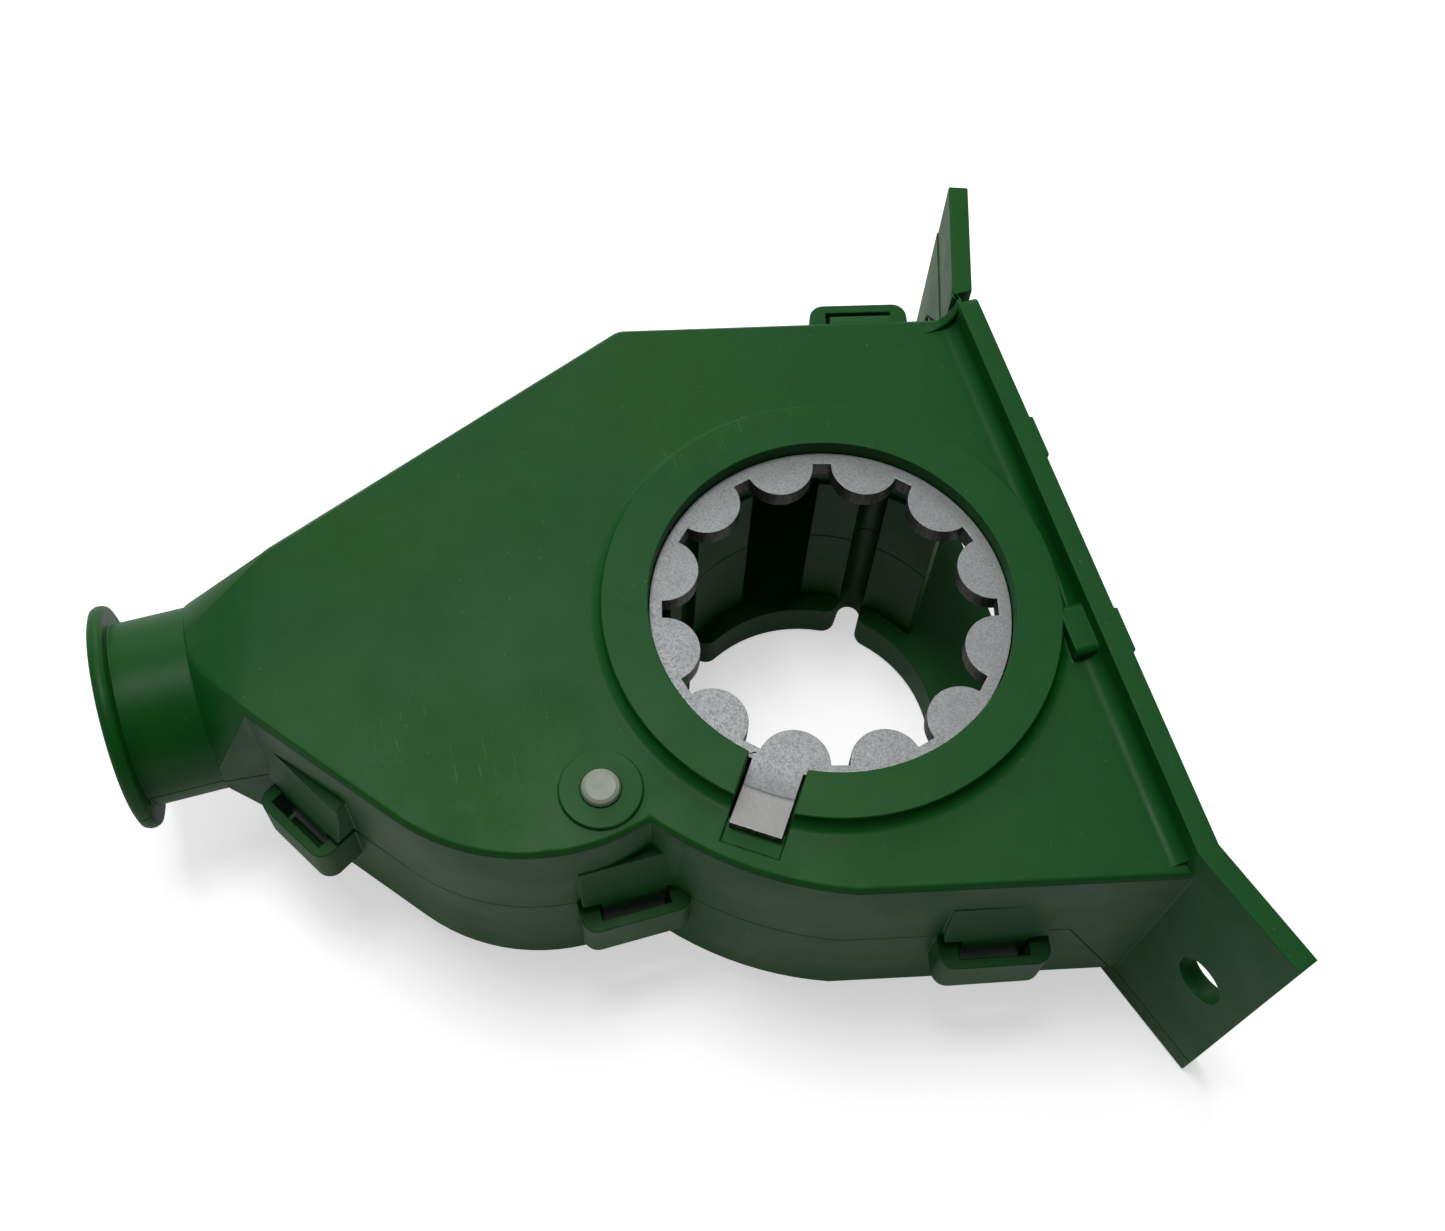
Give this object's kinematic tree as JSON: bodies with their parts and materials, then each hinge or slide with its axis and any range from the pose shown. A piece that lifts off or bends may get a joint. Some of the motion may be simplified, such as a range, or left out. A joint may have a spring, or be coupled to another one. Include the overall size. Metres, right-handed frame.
{
  "type": "planter seed meter",
  "caption": "Two-part moulded feed housing of a seed meter with a steel rosette plate round the roll opening, a hopper flange with slotted lugs, snap clips and a round spout.",
  "frame": {"origin": "on the feed roll's axis, in the plane that the back of the housing rests on", "axes": "+Z along the roll's axis towards the front, +Y towards the seed hopper, -Y towards the seed tube"},
  "size_m": [0.1758, 0.1941, 0.073],
  "materials": {
    "housing": "matte moulded, lightly scuffed",
    "steel_plate": "matte speckled with dark cut edges",
    "pale_plastic": "satin",
    "spring_steel": "drawn wire"
  },
  "bodies": {
    "housing": {"front_housing": "housing", "rear_housing": "housing", "rosette_plate": "steel_plate", "gate_pin": "pale_plastic", "gate_spring": "spring_steel"},
    "gate": {"feed_gate": "pale_plastic"}
  },
  "joints": [
    {"name": "gate_hinge", "type": "hinge", "parent": "housing", "child": "gate", "pos_m": [0.0238, -0.0513, 0.0365], "axis": [0, 0, 1], "range_deg": [0, 25], "stiffness_Nm_per_rad": 0.05, "deforming": ["gate_spring"]}
  ]
}
